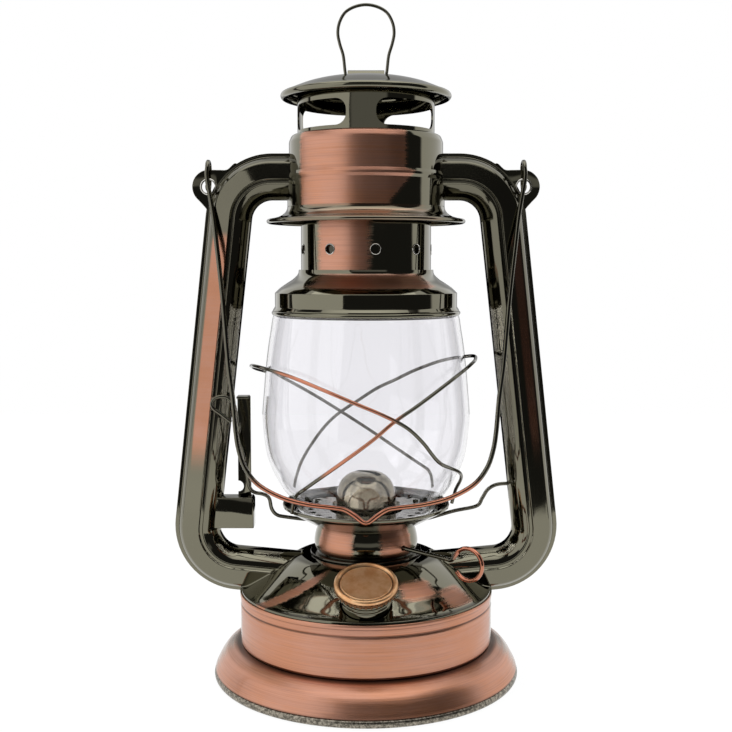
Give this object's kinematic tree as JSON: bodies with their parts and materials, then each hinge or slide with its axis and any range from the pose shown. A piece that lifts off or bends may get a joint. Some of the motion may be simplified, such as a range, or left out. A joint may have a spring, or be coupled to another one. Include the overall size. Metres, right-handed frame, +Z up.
{
  "type": "hurricane lantern",
  "caption": "Tubular oil lantern with a round tank, two side air tubes, a glass globe in a wire guard, a vented hood and a wire bail.",
  "frame": {"origin": "centre of the base on the surface it stands on", "axes": "+Z up, -Y the front with the filler cap, the side tubes along X"},
  "size_m": [0.1764, 0.1404, 0.3042],
  "materials": {
    "copper": "brushed antique copper plating, fine level brush lines, lacquered",
    "filler_copper": "bright brushed copper",
    "gunmetal": "black nickel plating, mirror bright",
    "steel": "plain steel",
    "glass": "clear blown glass",
    "cotton": "woven cotton tape",
    "gasket": "black rubber washer"
  },
  "bodies": {
    "frame": {"base_skirt": "copper", "base_plate": "gunmetal", "fount_body": "copper", "fount_seam": "copper", "fount_dome": "gunmetal", "filler_neck": "gunmetal", "burner_base": "steel", "burner_neck": "copper", "wick_tube": "steel", "burner_cone": "steel", "lift_bracket": "gunmetal", "tube_left": "gunmetal", "tube_right": "gunmetal", "ear_eyelet_left": "gunmetal", "ear_eyelet_right": "gunmetal", "drum_shell": "copper", "drum_skirt": "gunmetal", "drum_baffle": "gunmetal"},
    "globe_carrier": {"globe_plate": "gunmetal", "globe_seat": "gunmetal", "globe": "glass", "guard_wire_left": "gunmetal", "guard_wire_right": "gunmetal", "lift_wire": "gunmetal", "lift_strip": "gunmetal"},
    "chimney": {"chimney_tube": "copper", "bell_hood": "gunmetal", "vent_cage": "gunmetal", "chimney_cap": "gunmetal", "cap_strap": "gunmetal"},
    "top_ring": {"top_ring": "gunmetal"},
    "bail": {"bail": "gunmetal"},
    "filler_washer": {"filler_gasket": "gasket"},
    "filler_cap": {"filler_cap": "filler_copper"},
    "wick_knob": {"wick_wheel": "steel", "wick_knob": "copper"},
    "wick": {"wick": "cotton"}
  },
  "joints": [
    {"name": "carrier_lift", "type": "slide", "parent": "frame", "child": "globe_carrier", "axis": [0, 0, 1], "range_m": [0, 0.012]},
    {"name": "chimney_lift", "type": "slide", "parent": "globe_carrier", "child": "chimney", "axis": [0, 0, 1], "range_m": [0, 0.012]},
    {"name": "ring_fold", "type": "hinge", "parent": "chimney", "child": "top_ring", "pos_m": [0, 0, 0.2727], "axis": [1, 0, 0], "range_deg": [-88, 88]},
    {"name": "bail_swing", "type": "hinge", "parent": "frame", "child": "bail", "pos_m": [0, 0, 0.22843], "axis": [-1, 0, 0], "range_deg": [0, 285]},
    {"name": "filler_rise", "type": "slide", "parent": "frame", "child": "filler_washer", "axis": [0, -0.3907, 0.9205], "range_m": [0, 0.0051]},
    {"name": "filler_turn", "type": "hinge", "parent": "filler_washer", "child": "filler_cap", "pos_m": [0, -0.0463, 0.0457], "axis": [0, -0.3907, 0.9205], "range_deg": [0, 1081]},
    {"name": "knob_turn", "type": "hinge", "parent": "frame", "child": "wick_knob", "pos_m": [-0.00232, -0.00326, 0.0632], "axis": [0.8124, -0.5795, -0.0656], "range_deg": [-245, 120]},
    {"name": "wick_feed", "type": "slide", "parent": "frame", "child": "wick", "axis": [0, 0, 1], "range_m": [-0.0119, 0.0058]}
  ],
  "couplings": [
    {"joint": "filler_turn", "follows": "filler_rise", "rad_per_m": 3696},
    {"joint": "knob_turn", "follows": "wick_feed", "rad_per_m": 357.14}
  ]
}
